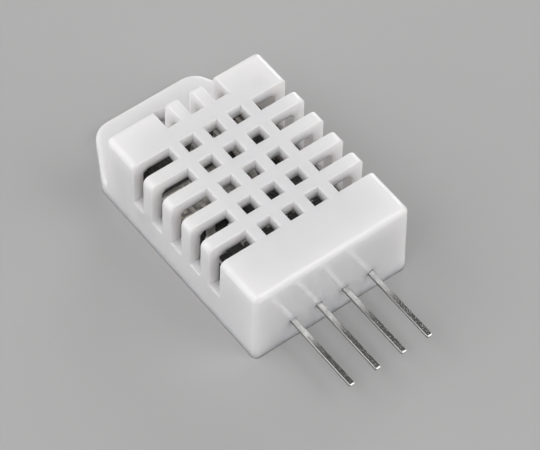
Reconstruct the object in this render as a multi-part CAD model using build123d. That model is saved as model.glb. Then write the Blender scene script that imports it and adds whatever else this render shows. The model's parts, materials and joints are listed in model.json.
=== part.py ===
from build123d import *
import math
import os

# A temperature and humidity sensor module: a snap-together housing with a grille roof and a mounting
# ear, and inside it a circuit board that carries the sensing plate, the thermistor and four flat
# terminal pins. Millimetres. +Z points up through the grille and +Y towards the ear. The origin is the
# centre of the housing's back face, ear left out.

# Housing block
body_width = 15.1
body_length = 20.0
body_height = 7.7
side_draft = 0.2
end_draft = 1.5
corner_radius = 0.5
roof_edge_radius = 0.6
side_wall_thickness = 1.05
end_wall_thickness = 1.25
roof_thickness = 1.25
cavity_chamfer = 0.35

# Mounting ear
ear_reach = 5.1
ear_thickness = 1.5
ear_shoulder = 0.35
ear_taper = 29.0
ear_corner_radius = 2.0
ear_shoulder_radius = 1.5
ear_edge_radius = 0.4
ear_root_overlap = 1.0
ear_hole_radius = 1.3
ear_hole_offset = 2.2

# Grille
grille_columns = 3
grille_rows = 5
column_pitch = 2.35
row_pitch = 2.5
opening_width = 1.33
opening_length = 1.36
grille_centre_y = 0.41
end_slot_depth = 2.34
rail_height = 3.2
slot_mouth_radius = 0.1
opening_mouth_bevel = 0.08

# Terminal pins
pin_names = ("ground", "spare", "data", "power")
pin_pitch = 2.54
pin_width = 0.5
pin_thickness = 0.3
pin_height = 2.2
pin_reach = 7.4
pin_edge_bevel = 0.05
pin_tip_bevel = 0.08
pin_window_clearance = 0.04

# Circuit board
board_thickness = 0.8
board_side_gap = 0.2
board_pin_end_gap = 0.3
board_ear_end_gap = 0.6
board_corner_radius = 0.4
pad_width = 1.1
pad_length = 2.6
pad_thickness = 0.05
pad_setback = 0.3

# Solder on the pads
joint_spread = 0.28
joint_height = 0.34
joint_end_margin = 0.15

# Back cover
cover_clearance = 0.1
cover_thickness = 1.2
cover_corner_radius = 0.25
rib_inset = 1.4
rib_thickness = 0.6
rib_length = 11.0
rib_centre_y = 1.2
cross_rib_height = 0.6
cross_rib_pitch = 4.5
cross_rib_count = 3

# Snap hooks of the back cover and their recesses
hook_pitch = 9.0
hook_length = 2.2
hook_thickness = 0.65
hook_top_gap = 0.1
hook_barb = 0.25
hook_barb_height = 0.5
recess_depth = 0.35
recess_margin = 0.15

# Posts that hold the board down
post_width = 1.4
post_depth = 0.8
post_inset = 0.3

# Humidity sensing plate
plate_width = 5.7
plate_length = 4.3
plate_thickness = 0.5
plate_edge_gap = 0.1
plate_offset_y = 2.8
spacer_thickness = 0.3
spacer_inset = 0.5
comb_thickness = 0.04
comb_margin = 0.28
comb_bus = 0.3
comb_finger = 0.32
comb_gap = 0.28
comb_land_length = 0.9
film_thickness = 0.04
film_overhang = 0.1
film_start = 1.8

# Leads of the sensing plate
lead_spacing = 2.2
lead_width = 0.8
lead_thickness = 0.15
lead_run = 0.6
lead_foot = 0.7
lead_bend_bevel = 0.1
lead_joint_spread = 0.2
lead_joint_height = 0.12

# Thermistor, a glass sleeve that lies along the board
sleeve_radius = 0.32
sleeve_length = 3.4
sleeve_centre_x = 1.72
sleeve_end_gap = 2.85
sleeve_turn = 7.0
sleeve_rise = 0.12
wire_radius = 0.14
wire_sides = 6
wire_run = 0.75
wire_bend_radius = 0.3

# Controller
chip_width = 8.65
chip_length = 3.9
chip_thickness = 1.4
chip_standoff = 0.12
chip_bevel = 0.18
chip_centre_x = 0.9
chip_setback = 3.5
chip_dimple_radius = 0.35
chip_dimple_depth = 0.06
chip_dimple_inset = 0.8
chip_lead_count = 7
chip_lead_pitch = 1.27
chip_lead_width = 0.42
chip_lead_thickness = 0.2
chip_lead_shoulder = 0.2
chip_lead_foot = 0.4

# Small parts on the board
resistor_length = 1.6
resistor_width = 0.8
resistor_height = 0.45
resistor_count = 3
resistor_edge_gap = 1.15
resistor_pitch = 2.0
capacitor_length = 1.6
capacitor_width = 0.9
capacitor_height = 0.8
capacitor_count = 3
capacitor_pitch = 2.2
capacitor_edge_gap = 1.1
lone_capacitor_step_x = 2.73
lone_capacitor_step_y = -1.3
end_cap_length = 0.3
end_cap_overlap = 0.03
toe_length = 0.15
toe_height = 0.22

half_width = body_width / 2
half_length = body_length / 2
cavity_width = body_width - 2 * side_wall_thickness
cavity_length = body_length - 2 * end_wall_thickness
roof_underside = body_height - roof_thickness
board_bottom = pin_height + pin_thickness / 2 + pad_thickness
board_top = board_bottom + board_thickness
board_width = cavity_width - 2 * board_side_gap
board_start_y = -cavity_length / 2 + board_pin_end_gap
board_end_y = cavity_length / 2 - board_ear_end_gap
board_centre_y = (board_start_y + board_end_y) / 2
pin_xs = [(i - (len(pin_names) - 1) / 2) * pin_pitch for i in range(len(pin_names))]
column_xs = [(i - (grille_columns - 1) / 2) * column_pitch for i in range(grille_columns)]
row_ys = [grille_centre_y + (i - (grille_rows - 1) / 2) * row_pitch for i in range(grille_rows)]
side_slot_inner_x = column_xs[-1] + column_pitch - opening_width / 2
plate_centre_x = -board_width / 2 + plate_edge_gap + plate_width / 2
plate_centre_y = board_centre_y + plate_offset_y
plate_bottom = board_top + spacer_thickness
plate_top = plate_bottom + plate_thickness
comb_top = plate_top + comb_thickness
sleeve_centre_y = board_end_y - sleeve_end_gap - sleeve_length / 2
sleeve_axis_height = sleeve_rise + sleeve_radius
chip_centre_y = board_start_y + chip_setback
resistor_size = (resistor_length, resistor_width, resistor_height)
capacitor_size = (capacitor_length, capacitor_width, capacitor_height)


def block(x_range, y_range, z_range):
    """A box from its lowest and highest X, Y and Z."""
    sizes = [high - low for low, high in (x_range, y_range, z_range)]
    centre = [(high + low) / 2 for low, high in (x_range, y_range, z_range)]
    return Pos(*centre) * Box(*sizes)


def span(centre, size):
    """The two ends of a length about its centre."""
    return (centre - size / 2, centre + size / 2)


def sided(side, low, high):
    """The range from low to high on one side of the middle, -1 or 1."""
    return sorted((side * low, side * high))


def profile_along_x(points, x_range):
    """A solid with the outline of (y, z) points, drawn out along X."""
    outline = make_face(Polyline(*[(x_range[0], y, z) for y, z in points], close=True))
    return extrude(outline, x_range[1] - x_range[0], dir=(1, 0, 0))


def profile_along_y(points, y_range):
    """A solid with the outline of (x, z) points, drawn out along Y."""
    outline = make_face(Polyline(*[(x, y_range[0], z) for x, z in points], close=True))
    return extrude(outline, y_range[1] - y_range[0], dir=(0, 1, 0))


def side_envelope():
    """The housing's cross section with its side draft, long enough for the ear too."""
    lean = body_height * math.tan(math.radians(side_draft))
    top_half = half_width - lean
    section = [(-half_width, 0), (half_width, 0), (top_half, body_height), (-top_half, body_height)]
    return profile_along_y(section, (-half_length, half_length + ear_reach))


def outer_block():
    """The housing from outside, drafted, with rounded corners and a rounded roof edge."""
    lean = body_height * math.tan(math.radians(end_draft))
    top_half = half_length - lean
    section = [(-half_length, 0), (half_length, 0), (top_half, body_height), (-top_half, body_height)]
    shape = side_envelope() & profile_along_x(section, (-half_width, half_width))
    uprights = shape.edges().filter_by(lambda e: e.bounding_box().size.Z > body_height / 2)
    shape = fillet(uprights, corner_radius)
    return fillet(shape.faces().sort_by(Axis.Z)[-1].edges(), roof_edge_radius)


def ear_plate():
    """The mounting ear, flush with the back, with tapered sides and rounded corners."""
    root_y = half_length - ear_root_overlap
    shoulder_y = half_length + ear_shoulder
    tip_y = half_length + ear_reach
    tip_half = half_width - (ear_reach - ear_shoulder) * math.tan(math.radians(ear_taper))
    points = [(-half_width, root_y), (half_width, root_y), (half_width, shoulder_y), (tip_half, tip_y),
              (-tip_half, tip_y), (-half_width, shoulder_y)]
    plate = extrude(make_face(Polyline(*points, close=True)), ear_thickness)
    uprights = plate.edges().filter_by(Axis.Z).sort_by(Axis.Y)
    plate = fillet(uprights[-2:], ear_corner_radius)
    uprights = plate.edges().filter_by(Axis.Z).filter_by_position(Axis.Y, shoulder_y, shoulder_y)
    plate = fillet(uprights, ear_shoulder_radius)
    rim = plate.faces().sort_by(Axis.Z)[-1].edges().sort_by(Axis.Y)[1:]
    return fillet(rim, ear_edge_radius) & side_envelope()


def ear_hole():
    """The cutter for the screw hole through the ear."""
    hole_y = half_length + ear_hole_offset
    return Pos(0, hole_y, ear_thickness / 2) * Cylinder(ear_hole_radius, 2 * ear_thickness)


def slot_cutters():
    """The side slots down to the rails, and the slots in the ear end."""
    z_range = (rail_height, body_height + roof_thickness)
    cutters = []
    for y in row_ys:
        for side in (-1, 1):
            x_range = sided(side, side_slot_inner_x, body_width)
            cutters.append(block(x_range, span(y, opening_length), z_range))
    end_reach = (half_length - end_slot_depth, body_length)
    for x in column_xs:
        cutters.append(block(span(x, opening_width), end_reach, z_range))
    return cutters


def opening_cutters():
    """The square openings through the roof."""
    z_range = (roof_underside - roof_thickness, body_height + roof_thickness)
    return [block(span(x, opening_width), span(y, opening_length), z_range)
            for y in row_ys for x in column_xs]


def is_mouth_edge(edge):
    """True for an edge where an opening breaks the housing's outer surface."""
    centre = edge.center()
    skin = roof_edge_radius + body_height * math.tan(math.radians(max(side_draft, end_draft)))
    on_roof = centre.Z > body_height - slot_mouth_radius / 2
    on_side = abs(centre.X) > half_width - skin
    on_end = centre.Y > half_length - skin
    return on_roof or ((on_side or on_end) and centre.Z > rail_height - slot_mouth_radius / 2)


def cut_with_soft_mouths(whole, cutters, soften, size):
    """Cut openings in the housing, and round or bevel the edges where they break its outer surface."""
    cut = whole - cutters
    return soften(new_edges(whole, *cutters, combined=cut).filter_by(is_mouth_edge), size)


def cavity():
    """The space inside the housing, open at the back, with chamfered corners under the roof."""
    space = block(span(0, cavity_width), span(0, cavity_length), (-roof_thickness, roof_underside))
    return chamfer(space.faces().sort_by(Axis.Z)[-1].edges(), cavity_chamfer)


def hold_down_posts():
    """Four posts in the cavity's corners that reach from the roof down to the board."""
    posts = []
    for side in (-1, 1):
        for end in (-1, 1):
            inner_x = cavity_width / 2 - post_inset - post_width
            inner_y = cavity_length / 2 - post_depth
            x_range = sided(side, inner_x, inner_x + post_width)
            y_range = sided(end, inner_y, half_length - end_wall_thickness / 2)
            posts.append(block(x_range, y_range, (board_top, roof_underside + roof_thickness / 2)))
    return posts


def pin_windows():
    """The four windows in the end wall that the pins pass through."""
    width = pin_width + 2 * pin_window_clearance
    height = pin_thickness + 2 * pin_window_clearance
    y_range = (-body_length, -half_length + 2 * end_wall_thickness)
    return [block(span(x, width), y_range, span(pin_height, height)) for x in pin_xs]


def hook_places():
    """Side and Y of each snap hook."""
    return [(side, end * hook_pitch / 2) for side in (-1, 1) for end in (-1, 1)]


def barb_heights():
    """The lowest and highest Z of a snap hook's barb."""
    barb_top = board_bottom - hook_top_gap
    return (barb_top - hook_barb_height, barb_top)


def hook_recesses():
    """The pockets in the side rails that the snap hooks spring into."""
    low, high = barb_heights()
    pockets = []
    for side, y in hook_places():
        x_range = sided(side, cavity_width / 2 - recess_depth, cavity_width / 2 + recess_depth)
        y_range = span(y, hook_length + 2 * recess_margin)
        pockets.append(block(x_range, y_range, (low - recess_margin, high + recess_margin)))
    return pockets


def front_cover():
    """The grille housing in one moulding with its ear."""
    shape = cut_with_soft_mouths(outer_block(), slot_cutters(), fillet, slot_mouth_radius)
    shape = cut_with_soft_mouths(shape, opening_cutters(), chamfer, opening_mouth_bevel)
    shape = shape + ear_plate()
    shape = shape - ear_hole()
    shape = shape - cavity()
    shape = shape + hold_down_posts()
    shape = shape - pin_windows()
    return shape - hook_recesses()


def snap_hook(side, y):
    """An upright tongue on the back cover with a ramped barb on its outer face."""
    outer_x = cavity_width / 2 - cover_clearance
    low, high = barb_heights()
    section = [(outer_x - hook_thickness, cover_thickness), (outer_x, cover_thickness), (outer_x, low),
               (outer_x + hook_barb, low), (outer_x, high), (outer_x - hook_thickness, high)]
    return profile_along_y([(side * x, z) for x, z in section], span(y, hook_length))


def back_cover():
    """The inset back plate, flush with the housing's back, with board ribs and snap hooks."""
    width = cavity_width - 2 * cover_clearance
    length = cavity_length - 2 * cover_clearance
    shape = extrude(RectangleRounded(width, length, cover_corner_radius), cover_thickness)
    rib_x = cavity_width / 2 - rib_inset
    for side in (-1, 1):
        x_range = span(side * rib_x, rib_thickness)
        y_range = span(rib_centre_y, rib_length)
        shape = shape + block(x_range, y_range, (cover_thickness, board_bottom))
    for i in range(cross_rib_count):
        y = rib_centre_y + (i - (cross_rib_count - 1) / 2) * cross_rib_pitch
        z_range = (cover_thickness, cover_thickness + cross_rib_height)
        shape = shape + block((-rib_x, rib_x), span(y, rib_thickness), z_range)
    for side, y in hook_places():
        shape = shape + snap_hook(side, y)
    return shape


def circuit_board():
    """The board, held between the back cover's ribs and the housing's posts."""
    board_length = board_end_y - board_start_y
    outline = Pos(0, board_centre_y) * RectangleRounded(board_width, board_length, board_corner_radius)
    return Pos(0, 0, board_bottom) * extrude(outline, board_thickness)


def pad_y_range():
    """Where the terminal pads lie along the board."""
    start = board_start_y + pad_setback
    return (start, start + pad_length)


def terminal_pads():
    """The copper pads under the board, one for each pin."""
    z_range = (board_bottom - pad_thickness, board_bottom)
    return [block(span(x, pad_width), pad_y_range(), z_range) for x in pin_xs]


def terminal_pin(x):
    """A flat pin from its pad out through the end wall, with bevelled edges and tip."""
    inner_y = pad_y_range()[1] - joint_end_margin
    pin = block(span(x, pin_width), (-half_length - pin_reach, inner_y), span(pin_height, pin_thickness))
    pin = chamfer(pin.edges().filter_by(Axis.Y), pin_edge_bevel)
    return chamfer(pin.faces().sort_by(Axis.Y)[0].edges(), pin_tip_bevel)


def pin_solder_joints():
    """Solder heaped along both sides of each pin, sloping from the pad's width up to the pin."""
    pad_z = board_bottom - pad_thickness
    y_range = [y + sign * joint_end_margin for y, sign in zip(pad_y_range(), (1, -1))]
    outer_x = pin_width / 2 + joint_spread
    section = [(pin_width / 2, pad_z), (outer_x, pad_z), (pin_width / 2, pad_z - joint_height)]
    joints = []
    for x in pin_xs:
        for side in (-1, 1):
            joints.append(profile_along_y([(x + side * dx, z) for dx, z in section], y_range))
    return joints


def sensor_spacer():
    """The pad between the board and the sensing plate."""
    x_range = span(plate_centre_x, plate_width - 2 * spacer_inset)
    y_range = span(plate_centre_y, plate_length - 2 * spacer_inset)
    return block(x_range, y_range, (board_top, plate_bottom))


def sensor_substrate():
    """The ceramic plate of the humidity sensor."""
    x_range = span(plate_centre_x, plate_width)
    return block(x_range, span(plate_centre_y, plate_length), (plate_bottom, plate_top))


def lead_places():
    """X of the two sensor leads, each over its comb's land."""
    return span(plate_centre_x, lead_spacing)


def comb_x_range():
    """The left and right edges of both combs."""
    return span(plate_centre_x, plate_width - 2 * comb_margin)


def comb_y_range():
    """Where the combs lie along the plate, from the lands to the far edge."""
    near_y = plate_centre_y - plate_length / 2 + comb_margin + comb_land_length
    far_y = plate_centre_y + plate_length / 2 - comb_margin
    return (near_y, far_y)


def comb_fingers(first, y_range):
    """Every second finger across the plate, from the first or the second one on."""
    left_x, right_x = comb_x_range()
    pitch = comb_finger + comb_gap
    count = int((right_x - comb_bus - pitch - left_x) / pitch) + 1
    starts = [left_x + i * pitch for i in range(first, count, 2)]
    return [block((x, x + comb_finger), y_range, (plate_top, comb_top)) for x in starts]


def sensor_comb_left():
    """The comb with its bus bar beside the lands, and its own lead's land."""
    left_x, right_x = comb_x_range()
    near_y, far_y = comb_y_range()
    z_range = (plate_top, comb_top)
    land_end_x = lead_places()[0] + lead_width / 2
    land = block((left_x, land_end_x), (near_y - comb_land_length, near_y), z_range)
    bus = block((left_x, right_x - comb_bus - comb_gap), (near_y, near_y + comb_bus), z_range)
    return land + bus + comb_fingers(0, (near_y, far_y - comb_bus - comb_gap))


def sensor_comb_right():
    """The comb with its bus bar at the plate's far edge, its lead's land and a strip between them."""
    left_x, right_x = comb_x_range()
    near_y, far_y = comb_y_range()
    z_range = (plate_top, comb_top)
    land_start_x = lead_places()[1] - lead_width / 2
    land_start_y = near_y - comb_land_length
    land = block((land_start_x, right_x), (land_start_y, near_y - comb_gap), z_range)
    strip = block((right_x - comb_bus, right_x), (land_start_y, far_y), z_range)
    bus = block((left_x, right_x), (far_y - comb_bus, far_y), z_range)
    return land + strip + bus + comb_fingers(1, (near_y + comb_bus + comb_gap, far_y))


def humidity_film():
    """The moisture-sensing film over most of the fingers of both combs."""
    left_x, right_x = comb_x_range()
    near_y, far_y = comb_y_range()
    x_range = (left_x + film_start, right_x + film_overhang)
    return block(x_range, (near_y, far_y + film_overhang), (comb_top, comb_top + film_thickness))


def lead_drop_y():
    """Where the outer face of the leads goes down to the board."""
    return plate_centre_y - plate_length / 2 - lead_run


def sensor_lead(x):
    """A flat lead from its land on the plate, over the plate's edge and down to a foot on the board."""
    land_y = comb_y_range()[0] - comb_gap
    outer_y = lead_drop_y()
    inner_y = outer_y + lead_thickness
    foot_y = outer_y - lead_foot
    high_z = comb_top + lead_thickness
    low_z = board_top + lead_thickness
    outer = [(land_y, high_z), (outer_y + lead_bend_bevel, high_z), (outer_y, high_z - lead_bend_bevel),
             (outer_y, low_z), (foot_y, low_z)]
    inner = [(foot_y, board_top), (inner_y - lead_bend_bevel, board_top),
             (inner_y, board_top + lead_bend_bevel), (inner_y, comb_top), (land_y, comb_top)]
    return profile_along_x(outer + inner, span(x, lead_width))


def sensor_lead_joints():
    """Solder along both sides of each sensor lead's foot."""
    y_range = (lead_drop_y() - lead_foot, lead_drop_y())
    joint_top = board_top + lead_joint_height
    outer_x = lead_width / 2 + lead_joint_spread
    section = [(lead_width / 2, board_top), (outer_x, board_top), (lead_width / 2, joint_top)]
    joints = []
    for x in lead_places():
        for side in (-1, 1):
            joints.append(profile_along_y([(x + side * dx, z) for dx, z in section], y_range))
    return joints


def sleeve_place():
    """Where the thermistor lies on the board, turned a little, with its length along Y."""
    return Pos(sleeve_centre_x, sleeve_centre_y, board_top) * Rot(0, 0, -sleeve_turn)


def thermistor_sleeve():
    """The thermistor's glass sleeve."""
    sleeve = Rot(90, 0, 0) * Cylinder(sleeve_radius, sleeve_length)
    return sleeve_place() * Pos(0, 0, sleeve_axis_height) * sleeve


def thermistor_leads():
    """The two wires from the sleeve's ends, bent down to the board."""
    wires = []
    for end in (-1, 1):
        start_y = end * sleeve_length / 2
        turn_y = start_y + end * wire_run
        corners = [(0, start_y, sleeve_axis_height), (0, turn_y, sleeve_axis_height), (0, turn_y, 0)]
        path = FilletPolyline(*corners, radius=wire_bend_radius)
        across = Plane(origin=path @ 0, z_dir=path % 0)
        wires.append(sleeve_place() * sweep(across * RegularPolygon(wire_radius, wire_sides), path=path))
    return wires


def controller_chip():
    """The controller's moulded body with its bevelled edges and pin-one dimple."""
    z_range = (board_top + chip_standoff, board_top + chip_standoff + chip_thickness)
    body = block(span(chip_centre_x, chip_width), span(chip_centre_y, chip_length), z_range)
    body = chamfer(body.faces().sort_by(Axis.Z)[-1].edges(), chip_bevel)
    dimple_x = chip_centre_x - chip_width / 2 + chip_dimple_inset
    dimple_y = chip_centre_y - chip_length / 2 + chip_dimple_inset
    dimple = Cylinder(chip_dimple_radius, 2 * chip_dimple_depth)
    return body - Pos(dimple_x, dimple_y, z_range[1]) * dimple


def chip_lead_xs():
    """X of the chip's leads along one side."""
    first_x = chip_centre_x - (chip_lead_count - 1) / 2 * chip_lead_pitch
    return [first_x + i * chip_lead_pitch for i in range(chip_lead_count)]


def controller_leads():
    """Gull-wing leads along both long sides of the chip."""
    root_z = board_top + chip_standoff + chip_thickness / 2
    leads = []
    for side in (-1, 1):
        root_y = chip_centre_y + side * chip_length / 2
        shoulder_y = root_y + side * chip_lead_shoulder
        knee_y = shoulder_y + side * chip_lead_thickness
        toe_y = knee_y + side * chip_lead_foot
        section = [(root_y, root_z), (knee_y, root_z), (knee_y, board_top + chip_lead_thickness),
                   (toe_y, board_top + chip_lead_thickness), (toe_y, board_top), (shoulder_y, board_top),
                   (shoulder_y, root_z - chip_lead_thickness), (root_y, root_z - chip_lead_thickness)]
        leads += [profile_along_x(section, span(x, chip_lead_width)) for x in chip_lead_xs()]
    return leads


def resistor_places():
    """Where the resistors stand, turned along the board in a column beside the chip."""
    x = -board_width / 2 + resistor_edge_gap
    first_y = chip_centre_y - (resistor_count - 1) / 2 * resistor_pitch
    turn = Rot(0, 0, 90)
    return [Pos(x, first_y + i * resistor_pitch, board_top) * turn for i in range(resistor_count)]


def capacitor_places():
    """Where the capacitors stand: a row near the board's ear end, and one beside the thermistor."""
    row_y = board_end_y - capacitor_edge_gap
    row = [Pos(i * capacitor_pitch, row_y, board_top) for i in range(capacitor_count)]
    lone_x = sleeve_centre_x + lone_capacitor_step_x
    lone_y = sleeve_centre_y + lone_capacitor_step_y
    return row + [Pos(lone_x, lone_y, board_top) * Rot(0, 0, 90)]


def part_bodies(places, size):
    """The middle of each small part, between its end caps."""
    length, width, height = size
    body = block(span(0, length - 2 * end_cap_length), span(0, width), (0, height))
    return [place * body for place in places]


def part_ends(places, size):
    """The metal end caps of each small part, a little proud of its body."""
    length, width, height = size
    y_range = span(0, width + 2 * end_cap_overlap)
    caps = []
    for side in (-1, 1):
        x_range = sided(side, length / 2 - end_cap_length, length / 2)
        cap = block(x_range, y_range, (0, height + end_cap_overlap))
        caps += [place * cap for place in places]
    return caps


def part_toes(places, size):
    """The wedges of solder at the ends of each small part."""
    length, width, _ = size
    section = [(length / 2, 0), (length / 2 + toe_length, 0), (length / 2, toe_height)]
    toes = []
    for side in (-1, 1):
        toe = profile_along_y([(side * x, z) for x, z in section], span(0, width))
        toes += [place * toe for place in places]
    return toes


def chip_toes():
    """The wedges of solder at the toes of the chip's leads."""
    toe_y = chip_length / 2 + chip_lead_shoulder + chip_lead_thickness + chip_lead_foot
    section = [(toe_y, board_top), (toe_y + toe_length, board_top), (toe_y, board_top + toe_height)]
    toes = []
    for side in (-1, 1):
        points = [(chip_centre_y + side * y, z) for y, z in section]
        toes += [profile_along_x(points, span(x, chip_lead_width)) for x in chip_lead_xs()]
    return toes


def component_joints():
    """The solder of the small parts and the chip."""
    resistor_toes = part_toes(resistor_places(), resistor_size)
    capacitor_toes = part_toes(capacitor_places(), capacitor_size)
    return resistor_toes + capacitor_toes + chip_toes()


def write_node(name, shape):
    """Write one named piece, or a group of like solids, as a STEP file."""
    solids = shape if isinstance(shape, list) else [shape]
    solids = [solid for item in solids for solid in item.solids()]
    body = solids[0] if len(solids) == 1 else Compound(solids)
    body.label = name
    export_step(body, f"parts/{name}.step")
    print(name, len(solids), round(sum(solid.volume for solid in solids), 3))


os.makedirs("parts", exist_ok=True)
write_node("front_cover", front_cover())
write_node("back_cover", back_cover())
write_node("circuit_board", circuit_board())
write_node("terminal_pads", terminal_pads())
for name, x in zip(pin_names, pin_xs):
    write_node(f"terminal_pin_{name}", terminal_pin(x))
write_node("pin_solder_joints", pin_solder_joints())
write_node("sensor_spacer", sensor_spacer())
write_node("sensor_substrate", sensor_substrate())
write_node("sensor_comb_left", sensor_comb_left())
write_node("sensor_comb_right", sensor_comb_right())
write_node("humidity_film", humidity_film())
write_node("sensor_lead_left", sensor_lead(lead_places()[0]))
write_node("sensor_lead_right", sensor_lead(lead_places()[1]))
write_node("sensor_lead_joints", sensor_lead_joints())
write_node("thermistor_sleeve", thermistor_sleeve())
write_node("thermistor_leads", thermistor_leads())
write_node("controller_chip", controller_chip())
write_node("controller_leads", controller_leads())
write_node("resistor_bodies", part_bodies(resistor_places(), resistor_size))
write_node("resistor_ends", part_ends(resistor_places(), resistor_size))
write_node("capacitor_bodies", part_bodies(capacitor_places(), capacitor_size))
write_node("capacitor_ends", part_ends(capacitor_places(), capacitor_size))
write_node("component_joints", component_joints())
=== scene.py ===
import json
import math
from collections import namedtuple

import bmesh
import bpy
from mathutils import Matrix, Quaternion, Vector


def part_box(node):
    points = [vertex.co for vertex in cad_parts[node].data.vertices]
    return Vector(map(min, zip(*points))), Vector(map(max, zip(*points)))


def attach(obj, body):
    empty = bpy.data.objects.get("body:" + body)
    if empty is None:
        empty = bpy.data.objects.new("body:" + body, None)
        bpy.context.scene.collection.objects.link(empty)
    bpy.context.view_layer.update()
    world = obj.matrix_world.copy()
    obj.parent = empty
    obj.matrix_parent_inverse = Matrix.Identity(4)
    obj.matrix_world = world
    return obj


# The looks of the temperature and humidity sensor module: the materials of its pieces, the tracks on its
# board, the floor, the light and the camera. Lengths are in metres, powers in watts, and colours in linear
# red, green and blue.

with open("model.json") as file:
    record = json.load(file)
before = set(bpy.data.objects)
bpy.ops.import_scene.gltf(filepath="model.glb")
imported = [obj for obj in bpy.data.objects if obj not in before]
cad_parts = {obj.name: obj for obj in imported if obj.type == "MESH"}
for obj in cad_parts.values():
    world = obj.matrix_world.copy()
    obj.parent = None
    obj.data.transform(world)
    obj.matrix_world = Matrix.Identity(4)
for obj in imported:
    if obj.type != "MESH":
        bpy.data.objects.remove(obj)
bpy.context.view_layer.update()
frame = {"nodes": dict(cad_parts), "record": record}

MM = 0.001

# Camera, fitted to the photograph: where it stands, the point it looks at, its turn about that line, and
# the least distance at which it shows a thing
CAMERA_PLACE = Vector((-104.09, -131.83, 229.67)) * MM
CAMERA_TARGET = Vector((-0.544, -2.571, 4.0)) * MM
CAMERA_ROLL = math.radians(1.89)
NEAREST_VIEW = 10 * MM

# Its lens and sensor, which Blender takes in millimetres
FOCAL_LENGTH = 237.94
SENSOR_WIDTH = 36.0

# Square lamps that face the module
Lamp = namedtuple("Lamp", "name place power width")
LAMPS = (
    Lamp("key_box", place=(0.185, -0.23, 0.405), power=0.32, width=0.20),
    Lamp("side_box", place=(-0.40, 0.14, 0.22), power=1.8, width=0.70),
    Lamp("front_box", place=(-0.20, -0.22, 0.40), power=0.63, width=0.38),
    Lamp("right_box", place=(0.26, -0.34, 0.21), power=0.64, width=0.38),
    Lamp("back_box", place=(-0.10, 0.40, 0.26), power=0.38, width=0.38),
    Lamp("rim_box", place=(0.34, 0.26, 0.13), power=0.62, width=0.24),
)
LAMP_COLOR = (1.0, 0.993, 0.995)

# The room, and its two darker parts: one that the pins' upper faces mirror, one that the near corner faces.
# Each is full where the cosine of the angle to its direction is above one value, and gone below the other.
Shade = namedtuple("Shade", "toward full_cosine gone_cosine level")
SHADES = (
    Shade(toward=(0.37, 0.46, 0.806), full_cosine=0.9, gone_cosine=0.55, level=0.09),
    Shade(toward=(-0.72, -0.69, 0.05), full_cosine=0.9, gone_cosine=0.6, level=0.0),
)
ROOM_LEVEL = 0.42
ROOM_COLOR = (1.0, 0.995, 0.985)

# The floor: the way from its middle to its edges, and its colour
FLOOR_REACH = 3.0
FLOOR_GREY = (0.42, 0.42, 0.42)

# The leads on each side of the controller chip
LEADS_ON_SIDE = 7
LEAD_PITCH = 1.27 * MM
LEAD_HALF_WIDTH = 0.21 * MM

# Tracks, which rise a little from the board and reach a little into it
TRACK_WIDTH = 0.22 * MM
TRACK_RISE = 0.02 * MM
TRACK_SINK = 0.01 * MM

# Plated holes with their rings
HOLE_RADIUS = 0.14 * MM
RING_RADIUS = 0.32 * MM
RING_RISE = 0.025 * MM
RING_SIDES = 20

# Tracks from the chip towards the sensors: how far from the chip they bend, in rows one step apart, and how
# far they run at least after the slant
FIRST_BEND = 0.28 * MM
BEND_STEP = 0.12 * MM
BEND_ROWS = 3
LEAST_LAST_RUN = 0.1 * MM

# Plated holes that some of them end at: the lead's number, from 0, and the way from that lead along X and Y
SENSOR_SIDE_HOLES = {
    2: Vector((0.5, 1.6)) * MM,
    4: Vector((0.3, 2.2)) * MM,
    6: Vector((0.0, 3.4)) * MM,
}

# How far the track to the thermistor's far wire ends from its lead, against X
FAR_WIRE_SHIFT = 0.2 * MM

# Short tracks from the chip towards the pins, and the least way from their holes to the board's edge
SHORT_TRACK = 0.5 * MM
HOLE_TO_EDGE = 0.35 * MM

# The long track along the board's edge: its way in from that edge and from the board's two ends
SIDE_TRACK_INSET = 0.45 * MM
SIDE_TRACK_START = 1.0 * MM
SIDE_TRACK_END = 2.4 * MM

# The least cosine that a mitre is worked out with, so that a sharp bend doesn't stick out far
LEAST_MITRE = 0.5

# Most of a noise pattern lies between these values
NOISE_LOW = 0.3
NOISE_HIGH = 0.7

# The mix node's sockets for its factor and two colours, and for the mixed colour
MIX_INPUTS = (0, 6, 7)
MIX_OUTPUT = 2


def node_centre(node):
    """The middle of a CAD node's box."""
    low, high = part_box(node)
    return (low + high) / 2


def opaque(color):
    """A colour with full opacity, which a node's output already has."""
    return color if isinstance(color, bpy.types.NodeSocket) else (*color, 1.0)


def tinted(color, factor):
    """A colour made lighter or darker."""
    return tuple(min(1.0, channel * factor) for channel in color)


def add_node(tree, kind, inputs=(), **settings):
    """A node with its settings. Its inputs, pairs of (name, value), are linked or given their value."""
    node = tree.nodes.new(kind)
    for name, value in settings.items():
        setattr(node, name, value)
    for name, value in inputs:
        if isinstance(value, bpy.types.NodeSocket):
            tree.links.new(value, node.inputs[name])
        else:
            node.inputs[name].default_value = value
    return node


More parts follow.
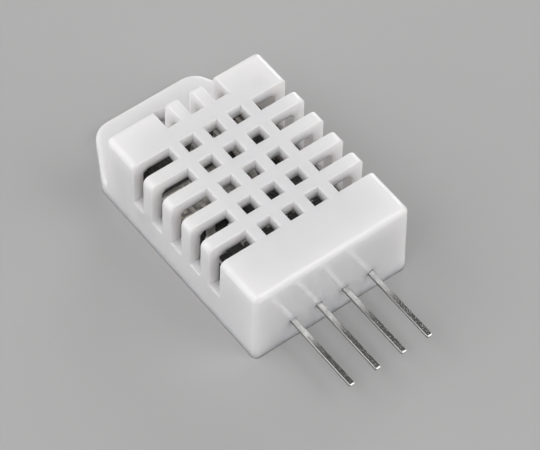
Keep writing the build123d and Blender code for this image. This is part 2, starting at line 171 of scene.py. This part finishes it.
class Recipe:
    """A material under construction: its nodes, its shader, and the place and normal for its patterns."""

    def __init__(self, name, color, roughness, metallic=0.0):
        """The colour and the roughness are for viewers that don't read patterns."""
        self.material = bpy.data.materials.new(name)
        self.material.use_nodes = True
        self.material.diffuse_color = opaque(color)
        self.tree = self.material.node_tree
        self.shader = self.tree.nodes["Principled BSDF"]
        self.set_inputs({"Base Color": opaque(color), "Roughness": roughness, "Metallic": metallic})
        coordinates = self.tree.nodes.new("ShaderNodeTexCoord")
        self.place = coordinates.outputs["Object"]
        self.normal = coordinates.outputs["Normal"]

    def set_inputs(self, values):
        """Set inputs of the shader that are the same all over."""
        for name, value in values.items():
            self.shader.inputs[name].default_value = value

    def connect(self, name, socket):
        """Let a pattern set an input of the shader."""
        self.tree.links.new(socket, self.shader.inputs[name])

    def stretched(self, scale):
        """The place scaled along each axis, for grain that runs one way."""
        inputs = [("Vector", self.place), ("Scale", scale)]
        return add_node(self.tree, "ShaderNodeMapping", inputs).outputs["Vector"]

    def part(self, vector, axis):
        """The X, Y or Z of a vector."""
        return add_node(self.tree, "ShaderNodeSeparateXYZ", [("Vector", vector)]).outputs[axis]

    def noise(self, size, detail=3.0, roughness=0.5, distortion=0.0, place=None):
        """Noise from 0 to 1 with features of a size."""
        inputs = [("Vector", place or self.place), ("Scale", 1.0 / size), ("Detail", detail),
                  ("Roughness", roughness), ("Distortion", distortion)]
        return add_node(self.tree, "ShaderNodeTexNoise", inputs).outputs["Fac"]

    def cells(self, size):
        """Distance to the nearest of scattered points about a size apart."""
        inputs = [("Vector", self.place), ("Scale", 1.0 / size)]
        return add_node(self.tree, "ShaderNodeTexVoronoi", inputs).outputs["Distance"]

    def bands(self, axis, scale, distortion):
        """Waves from 0 to 1 along an axis."""
        inputs = [("Vector", self.place), ("Scale", scale), ("Distortion", distortion)]
        return add_node(self.tree, "ShaderNodeTexWave", inputs, bands_direction=axis).outputs["Fac"]

    def math(self, operation, first, second=0.0):
        """The result of an operation on two values, or on one where it takes no other."""
        inputs = [(0, first), (1, second)]
        return add_node(self.tree, "ShaderNodeMath", inputs, operation=operation).outputs["Value"]

    def spread(self, pattern, first, last, start=NOISE_LOW, end=NOISE_HIGH):
        """A value that goes from first to last as a pattern goes from start to end."""
        inputs = [("Value", pattern), ("From Min", start), ("From Max", end),
                  ("To Min", first), ("To Max", last)]
        return add_node(self.tree, "ShaderNodeMapRange", inputs).outputs["Result"]

    def mask(self, pattern, start=NOISE_LOW, end=NOISE_HIGH):
        """A value from 0 to 1 as a pattern goes from start to end."""
        return self.spread(pattern, first=0.0, last=1.0, start=start, end=end)

    def mix(self, factor, first, second):
        """A colour that goes from first to second as the factor goes from 0 to 1."""
        inputs = zip(MIX_INPUTS, (factor, opaque(first), opaque(second)))
        return add_node(self.tree, "ShaderNodeMix", inputs, data_type="RGBA").outputs[MIX_OUTPUT]

    def soft_edges(self, radius):
        """Normals that round off every edge by a radius."""
        return add_node(self.tree, "ShaderNodeBevel", [("Radius", radius)]).outputs["Normal"]

    def color(self, factor, first, second):
        """Colour the surface from first to second."""
        self.connect("Base Color", self.mix(factor, first, second))

    def roughness(self, pattern, first, last, start=NOISE_LOW, end=NOISE_HIGH):
        """Give the surface a roughness from first to last as a pattern goes from start to end."""
        self.connect("Roughness", self.spread(pattern, first, last, start, end))

    def bump(self, height, depth, over=None):
        """Give the surface relief of a depth, over other relief where it is given."""
        inputs = [("Height", height), ("Distance", depth)]
        if over:
            inputs.append(("Normal", over))
        relief = add_node(self.tree, "ShaderNodeBump", inputs).outputs["Normal"]
        self.connect("Normal", relief)
        return relief


def housing_plastic():
    """Translucent white plastic with soft edges, faint flow marks, a fine tool texture and a satin gloss."""
    white = (0.868, 0.847, 0.848)
    recipe = Recipe("white_plastic", white, roughness=0.32)
    flow = recipe.noise(size=4.0 * MM, detail=2.0, distortion=0.6)
    recipe.color(recipe.mask(flow), tinted(white, 0.985), tinted(white, 1.01))
    recipe.roughness(recipe.noise(size=0.7 * MM, detail=4.0), first=0.29, last=0.34)
    edges = recipe.soft_edges(radius=0.20 * MM)
    waves = recipe.bump(recipe.noise(size=1.6 * MM, detail=1.0), depth=0.0008 * MM, over=edges)
    recipe.bump(recipe.noise(size=0.09 * MM, roughness=0.6), depth=0.00025 * MM, over=waves)
    recipe.set_inputs({
        "Subsurface Weight": 0.9,
        "Subsurface Radius": (1.0, 0.94, 0.88),
        "Subsurface Scale": 3.6 * MM,
        "Coat Weight": 0.5,
        "Coat Roughness": 0.14,
    })
    return recipe.material


def board_laminate():
    """Near-black solder mask over a glass weave that just shows as relief, a yarn to the millimetre."""
    dark = (0.030, 0.034, 0.031)
    weave_scale = 0.32 / MM
    recipe = Recipe("board_mask", dark, roughness=0.3)
    recipe.color(recipe.noise(size=1.1 * MM), tinted(dark, 0.7), tinted(dark, 1.5))
    recipe.roughness(recipe.noise(size=0.3 * MM), first=0.22, last=0.42)
    warp = recipe.bands("X", weave_scale, distortion=0.4)
    weft = recipe.bands("Y", weave_scale, distortion=0.4)
    recipe.bump(recipe.math("MAXIMUM", warp, weft), depth=0.006 * MM)
    return recipe.material


def pin_tin():
    """Tin plate on the pins: lines drawn along them, small pits, duller patches, and dull cut sides."""
    tin = (0.78, 0.78, 0.77)
    along_pin = (1.0, 0.04, 1.0)
    recipe = Recipe("tin_plate", tin, roughness=0.22, metallic=1.0)
    sideways = recipe.math("ABSOLUTE", recipe.part(recipe.normal, "X"))
    on_side = recipe.mask(sideways, start=0.5, end=0.8)
    patches = recipe.noise(size=0.5 * MM, detail=4.0, roughness=0.6)
    plate = recipe.mix(recipe.mask(patches, start=0.35, end=0.75), tin, tinted(tin, 0.72))
    recipe.color(on_side, plate, tinted(tin, 0.42))
    plate_roughness = recipe.spread(patches, first=0.16, last=0.28)
    added_on_side = recipe.math("MULTIPLY", on_side, 0.14)
    recipe.connect("Roughness", recipe.math("ADD", plate_roughness, added_on_side))
    lines = recipe.noise(size=0.05 * MM, place=recipe.stretched(along_pin))
    drawn = recipe.bump(lines, depth=0.003 * MM)
    pits = recipe.spread(recipe.cells(size=0.11 * MM), first=1.0, last=0.0, start=0.10, end=0.28)
    recipe.bump(recipe.math("SUBTRACT", recipe.noise(size=0.07 * MM), pits), depth=0.008 * MM, over=drawn)
    return recipe.material


def matt_tin():
    """Matt tin on leads and end caps: a pale, fine-grained metal that spreads what it mirrors."""
    bright = (0.58, 0.57, 0.55)
    dull = (0.38, 0.37, 0.35)
    recipe = Recipe("matt_tin", (0.50, 0.49, 0.47), roughness=0.5, metallic=0.55)
    patches = recipe.noise(size=0.4 * MM)
    recipe.color(recipe.mask(patches), bright, dull)
    recipe.roughness(patches, first=0.42, last=0.6)
    recipe.bump(recipe.noise(size=0.06 * MM), depth=0.004 * MM)
    return recipe.material


def solder():
    """Bright solder with a slightly wrinkled skin."""
    dull = (0.55, 0.55, 0.54)
    bright = (0.78, 0.78, 0.77)
    recipe = Recipe("bright_solder", (0.68, 0.68, 0.67), roughness=0.2, metallic=1.0)
    skin = recipe.noise(size=0.18 * MM, distortion=0.8)
    recipe.color(skin, dull, bright)
    recipe.roughness(skin, first=0.12, last=0.34)
    recipe.bump(skin, depth=0.02 * MM)
    return recipe.material


def copper_pad():
    """Copper pads with the thin tin that keeps them bright, worn at places to the red metal."""
    tin = (0.70, 0.66, 0.60)
    copper = (0.72, 0.40, 0.24)
    recipe = Recipe("tinned_copper", (0.72, 0.47, 0.30), roughness=0.3, metallic=1.0)
    worn = recipe.mask(recipe.noise(size=0.35 * MM, detail=4.0), start=0.42, end=0.58)
    recipe.color(worn, tin, copper)
    recipe.roughness(recipe.noise(size=0.1 * MM), first=0.22, last=0.45)
    recipe.bump(recipe.noise(size=0.08 * MM), depth=0.002 * MM)
    return recipe.material


def ceramic_plate():
    """Fired ceramic: grey, finely speckled and matt."""
    dark = (0.19, 0.19, 0.18)
    light = (0.33, 0.33, 0.32)
    speck = (0.12, 0.12, 0.11)
    recipe = Recipe("grey_ceramic", (0.26, 0.26, 0.25), roughness=0.6)
    cloud = recipe.noise(size=0.8 * MM)
    specks = recipe.noise(size=0.07 * MM, detail=2.0)
    share = recipe.spread(specks, first=0.0, last=0.4, start=0.35, end=0.65)
    recipe.color(share, recipe.mix(cloud, dark, light), speck)
    recipe.roughness(cloud, first=0.5, last=0.7)
    recipe.bump(recipe.noise(size=0.04 * MM), depth=0.003 * MM)
    return recipe.material


def printed_comb():
    """Printed silver electrode with a grainy, slightly tarnished face."""
    silver = (0.72, 0.71, 0.66)
    brown = (0.42, 0.39, 0.32)
    recipe = Recipe("printed_silver", (0.62, 0.60, 0.55), roughness=0.42, metallic=0.5)
    tarnish = recipe.mask(recipe.noise(size=0.5 * MM, detail=4.0), start=0.4, end=0.7)
    recipe.color(tarnish, silver, brown)
    recipe.roughness(tarnish, first=0.32, last=0.55, start=0.0, end=1.0)
    recipe.bump(recipe.noise(size=0.05 * MM), depth=0.003 * MM)
    return recipe.material


def polymer_film():
    """The moisture-sensing film: a thin clear-grey gel with a soft gloss and gentle ripples."""
    grey = (0.44, 0.43, 0.39)
    pale = (0.86, 0.85, 0.80)
    recipe = Recipe("polymer_film", (0.50, 0.49, 0.44), roughness=0.22)
    thick = recipe.noise(size=0.45 * MM)
    recipe.color(recipe.mask(thick, start=0.35, end=0.65), grey, pale)
    recipe.roughness(thick, first=0.15, last=0.32)
    recipe.connect("Alpha", recipe.spread(thick, first=0.40, last=0.66))
    recipe.bump(recipe.noise(size=0.35 * MM, detail=1.0), depth=0.012 * MM)
    return recipe.material


def foam_pad():
    """Dark foam tape with open cells, their hollows darkened with painted shade."""
    shaded_pit = (0.02, 0.02, 0.02)
    wall = (0.09, 0.09, 0.088)
    recipe = Recipe("dark_foam", (0.05, 0.05, 0.05), roughness=0.85)
    cells = recipe.cells(size=0.09 * MM)
    # Painted shade: the colour darkens towards each cell's middle, where the relief sinks into a hollow
    recipe.color(recipe.mask(cells, start=0.1, end=0.6), shaded_pit, wall)
    recipe.roughness(cells, first=0.95, last=0.75, start=0.0, end=1.0)
    recipe.bump(cells, depth=0.03 * MM)
    return recipe.material


def sleeve_glass():
    """Grey glass over the sensing bead, darker towards the middle where the bead sits."""
    dark_glass = (0.40, 0.39, 0.36)
    light_glass = (0.56, 0.55, 0.52)
    bead = (0.16, 0.15, 0.14)
    recipe = Recipe("grey_glass", (0.46, 0.45, 0.42), roughness=0.1)
    along = recipe.math("SUBTRACT", recipe.part(recipe.place, "Y"), node_centre("thermistor_sleeve").y)
    distance = recipe.math("ABSOLUTE", along)
    near_middle = recipe.spread(distance, first=1.0, last=0.0, start=0.45 * MM, end=0.95 * MM)
    streaks = recipe.noise(size=0.4 * MM, detail=2.0)
    recipe.color(near_middle, recipe.mix(streaks, dark_glass, light_glass), bead)
    recipe.roughness(streaks, first=0.06, last=0.16)
    recipe.bump(recipe.noise(size=0.5 * MM, detail=1.0), depth=0.01 * MM)
    recipe.set_inputs({"IOR": 1.52, "Coat Weight": 0.6, "Coat Roughness": 0.05})
    return recipe.material


def chip_plastic():
    """Black moulding compound with its fine sand-like grain."""
    black = (0.030, 0.030, 0.030)
    grey = (0.07, 0.07, 0.07)
    recipe = Recipe("chip_black", (0.038, 0.038, 0.038), roughness=0.6)
    grain = recipe.noise(size=0.05 * MM)
    recipe.color(recipe.mask(grain, start=0.4, end=0.7), black, grey)
    recipe.roughness(grain, first=0.5, last=0.75)
    recipe.bump(grain, depth=0.008 * MM)
    return recipe.material


def resistor_body():
    """White ceramic with a glossy black glaze on its upper face."""
    ceramic_tones = ((0.55, 0.55, 0.53), (0.70, 0.70, 0.68))
    glaze_tones = ((0.012, 0.012, 0.014), (0.035, 0.035, 0.04))
    recipe = Recipe("glazed_resistor", (0.05, 0.05, 0.055), roughness=0.3)
    mottle = recipe.noise(size=0.15 * MM)
    glazed = recipe.mask(recipe.part(recipe.normal, "Z"), start=0.4, end=0.6)
    recipe.color(glazed, recipe.mix(mottle, *ceramic_tones), recipe.mix(mottle, *glaze_tones))
    recipe.roughness(glazed, first=0.6, last=0.2, start=0.0, end=1.0)
    recipe.bump(mottle, depth=0.006 * MM)
    return recipe.material


def capacitor_body():
    """Grey-brown ceramic, fine-grained, a little uneven in tone."""
    dark = (0.12, 0.105, 0.09)
    light = (0.26, 0.23, 0.20)
    recipe = Recipe("tan_ceramic", (0.17, 0.15, 0.13), roughness=0.45)
    grain = recipe.noise(size=0.06 * MM)
    recipe.color(recipe.math("MULTIPLY", grain, recipe.noise(size=0.5 * MM)), dark, light)
    recipe.roughness(grain, first=0.38, last=0.6)
    recipe.bump(grain, depth=0.004 * MM)
    return recipe.material


def track_mask():
    """Solder mask where it lies over copper: a little lighter and glossier than over bare laminate."""
    dark = (0.026, 0.032, 0.028)
    light = (0.050, 0.060, 0.052)
    recipe = Recipe("mask_over_copper", (0.034, 0.042, 0.036), roughness=0.24)
    tone = recipe.noise(size=0.4 * MM)
    recipe.color(tone, dark, light)
    recipe.roughness(tone, first=0.18, last=0.32)
    recipe.bump(recipe.noise(size=0.08 * MM), depth=0.003 * MM)
    return recipe.material


def floor_paper():
    """Plain pale paper with a barely visible tooth."""
    recipe = Recipe("floor_paper", FLOOR_GREY, roughness=0.7)
    tone = recipe.noise(size=3.0 * MM, detail=4.0)
    recipe.color(tone, tinted(FLOOR_GREY, 0.995), tinted(FLOOR_GREY, 1.005))
    recipe.roughness(tone, first=0.65, last=0.75)
    recipe.bump(recipe.noise(size=0.3 * MM), depth=0.002 * MM)
    return recipe.material


# The function that makes the material of each slot in the record
SLOT_MATERIALS = {
    "housing_plastic": housing_plastic,
    "board_laminate": board_laminate,
    "copper": copper_pad,
    "tinned_metal": pin_tin,
    "matt_tin": matt_tin,
    "solder": solder,
    "ceramic": ceramic_plate,
    "comb_metal": printed_comb,
    "sensing_film": polymer_film,
    "foam": foam_pad,
    "sleeve_glass": sleeve_glass,
    "chip_plastic": chip_plastic,
    "resistor_body": resistor_body,
    "capacitor_body": capacitor_body,
}


def dress_nodes():
    """Give each CAD node the material of its slot in the record."""
    materials = {slot: make_material() for slot, make_material in SLOT_MATERIALS.items()}
    for part in frame["record"]["subparts"]:
        mesh = frame["nodes"][part["node"]].data
        mesh.materials.clear()
        mesh.materials.append(materials[part["material_slot"]])


def scene_object(name, data):
    """An object of the scene that shows a mesh, a light or a camera."""
    made = bpy.data.objects.new(name, data)
    bpy.context.scene.collection.objects.link(made)
    return made


def mesh_object(name, mesh, material):
    """An object of built geometry in one material."""
    data = bpy.data.meshes.new(name)
    mesh.to_mesh(data)
    mesh.free()
    data.materials.append(material)
    return scene_object(name, data)


def point_loop(mesh, corners):
    """Points of a mesh at corners, each a point (x, y) and a height."""
    return [mesh.verts.new((point.x, point.y, z)) for point, z in corners]


def bridge(mesh, loops, closed):
    """Faces between each loop of points and the next. A closed loop's last point joins its first."""
    for one, two in zip(loops, loops[1:]):
        sides = len(one) if closed else len(one) - 1
        for i in range(sides):
            j = (i + 1) % len(one)
            mesh.faces.new((one[i], one[j], two[j], two[i]))


def strip(mesh, route, low, high):
    """A flat track along a route, with mitred bends and closed ends, and open below, where the board is."""
    runs = [(end - start).normalized() for start, end in zip(route, route[1:])]
    runs_before = runs[:1] + runs
    runs_after = runs + runs[-1:]
    sections = []
    for point, before, after in zip(route, runs_before, runs_after):
        along = (before + after).normalized()
        reach = TRACK_WIDTH / 2 / max(LEAST_MITRE, along.dot(after))
        across = Vector((-along.y, along.x)) * reach
        left = point + across
        right = point - across
        sections.append(point_loop(mesh, [(left, low), (left, high), (right, high), (right, low)]))
    bridge(mesh, sections, closed=False)
    mesh.faces.new(sections[0][::-1])
    mesh.faces.new(sections[-1])


def ring(mesh, centre, low, high):
    """A flat ring round a plated hole."""
    angles = [2 * math.pi * i / RING_SIDES for i in range(RING_SIDES)]
    spokes = [Vector((math.cos(angle), math.sin(angle))) for angle in angles]
    section = [(RING_RADIUS, low), (RING_RADIUS, high), (HOLE_RADIUS, high), (HOLE_RADIUS, low)]
    loops = [point_loop(mesh, [(centre + spoke * radius, z) for spoke in spokes]) for radius, z in section]
    bridge(mesh, loops, closed=True)


def slanting_route(start, end, bend):
    """A route that leaves its start along Y, slants over to the end's X, and reaches the end along Y."""
    shift = abs(end.x - start.x)
    if shift == 0:
        return [start, end]
    slant_start = Vector((start.x, start.y + bend))
    slant_end = Vector((end.x, min(slant_start.y + shift, end.y - LEAST_LAST_RUN)))
    return [start, slant_start, slant_end, end]


def sensor_tracks(leads):
    """Routes to the plate's two leads, the thermistor's two wires and three plated holes, with the holes."""
    feet_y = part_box("sensor_lead_left")[0].y
    left_foot = Vector((node_centre("sensor_lead_left").x, feet_y))
    right_foot = Vector((node_centre("sensor_lead_right").x, feet_y))
    wires_low, wires_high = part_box("thermistor_leads")
    near_wire = Vector((node_centre("thermistor_sleeve").x, wires_low.y))
    far_wire = Vector((leads[5].x - FAR_WIRE_SHIFT, wires_high.y))
    holes = [leads[number] + way for number, way in SENSOR_SIDE_HOLES.items()]
    ends = [left_foot, right_foot, holes[0], near_wire, holes[1], far_wire, holes[2]]
    routes = []
    for number, (lead, end) in enumerate(zip(leads, ends)):
        bend = FIRST_BEND + BEND_STEP * (number % BEND_ROWS)
        routes.append(slanting_route(lead, end, bend))
    return routes, holes


def short_tracks(leads):
    """Routes from every second lead towards the pins, each to a plated hole, with the holes."""
    edge_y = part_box("circuit_board")[0].y
    routes = []
    for lead in leads[1::2]:
        hole_y = max(lead.y - SHORT_TRACK, edge_y + HOLE_TO_EDGE)
        routes.append([lead, Vector((lead.x, hole_y))])
    return routes, [route[-1] for route in routes]


def side_track():
    """One long route along the board's edge, with the plated hole that it starts at."""
    low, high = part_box("circuit_board")
    x = high.x - SIDE_TRACK_INSET
    route = [Vector((x, low.y + SIDE_TRACK_START)), Vector((x, high.y - SIDE_TRACK_END))]
    return [route], [route[0]]


def board_tracks():
    """Tracks and plated holes that stand just proud of the board under the solder mask."""
    leads_low, leads_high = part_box("controller_leads")
    leads_x = [leads_low.x + LEAD_HALF_WIDTH + i * LEAD_PITCH for i in range(LEADS_ON_SIDE)]
    to_sensors = sensor_tracks([Vector((x, leads_high.y)) for x in leads_x])
    to_pins = short_tracks([Vector((x, leads_low.y)) for x in leads_x])
    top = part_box("circuit_board")[1].z
    mesh = bmesh.new()
    for routes, holes in (to_sensors, to_pins, side_track()):
        for route in routes:
            strip(mesh, route, top - TRACK_SINK, top + TRACK_RISE)
        for hole in holes:
            ring(mesh, hole, top - TRACK_SINK, top + RING_RISE)
    bmesh.ops.recalc_face_normals(mesh, faces=mesh.faces)
    tracks = mesh_object("board_tracks", mesh, track_mask())
    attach(tracks, "root")


def stage_floor():
    """A wide sheet at the height that the module lies on."""
    mesh = bmesh.new()
    bmesh.ops.create_grid(mesh, x_segments=1, y_segments=1, size=FLOOR_REACH)
    floor = mesh_object("floor", mesh, floor_paper())


def shaded_level(tree, direction, shade):
    """The level of the room's light with one of its darker parts."""
    toward = Vector(shade.toward).normalized()
    facing = add_node(tree, "ShaderNodeVectorMath", [(0, direction), (1, toward)], operation="DOT_PRODUCT")
    inputs = [("Value", facing.outputs["Value"]), ("From Min", shade.gone_cosine),
              ("From Max", shade.full_cosine), ("To Min", ROOM_LEVEL), ("To Max", shade.level)]
    return add_node(tree, "ShaderNodeMapRange", inputs, interpolation_type="SMOOTHSTEP").outputs["Result"]


def room_light():
    """An even pale room with its darker parts, of which the darker one counts where they meet."""
    world = bpy.data.worlds.new("room")
    world.use_nodes = True
    tree = world.node_tree
    direction = tree.nodes.new("ShaderNodeTexCoord").outputs["Generated"]
    levels = [shaded_level(tree, direction, shade) for shade in SHADES]
    lowest = add_node(tree, "ShaderNodeMath", enumerate(levels), operation="MINIMUM").outputs["Value"]
    background = tree.nodes["Background"]
    background.inputs["Color"].default_value = opaque(ROOM_COLOR)
    tree.links.new(lowest, background.inputs["Strength"])
    bpy.context.scene.world = world


def add_lamp(lamp):
    """A square soft light that faces the module."""
    light = bpy.data.lights.new(lamp.name, "AREA")
    light.energy = lamp.power
    light.size = lamp.width
    light.color = LAMP_COLOR
    place = Vector(lamp.place)
    box = scene_object(lamp.name, light)
    box.location = place
    box.rotation_euler = (-place).to_track_quat("-Z", "Y").to_euler()


def photo_camera():
    """The camera of the photograph."""
    data = bpy.data.cameras.new("camera")
    data.sensor_fit = "HORIZONTAL"
    data.sensor_width = SENSOR_WIDTH
    data.lens = FOCAL_LENGTH
    data.clip_start = NEAREST_VIEW
    level = (CAMERA_TARGET - CAMERA_PLACE).to_track_quat("-Z", "Y")
    turn = level @ Quaternion((0.0, 0.0, 1.0), CAMERA_ROLL)
    camera = scene_object("camera", data)
    camera.matrix_world = Matrix.Translation(CAMERA_PLACE) @ turn.to_matrix().to_4x4()
    bpy.context.scene.camera = camera


dress_nodes()
board_tracks()
stage_floor()
room_light()
for lamp in LAMPS:
    add_lamp(lamp)
photo_camera()

bpy.context.scene.view_settings.view_transform = "Standard"
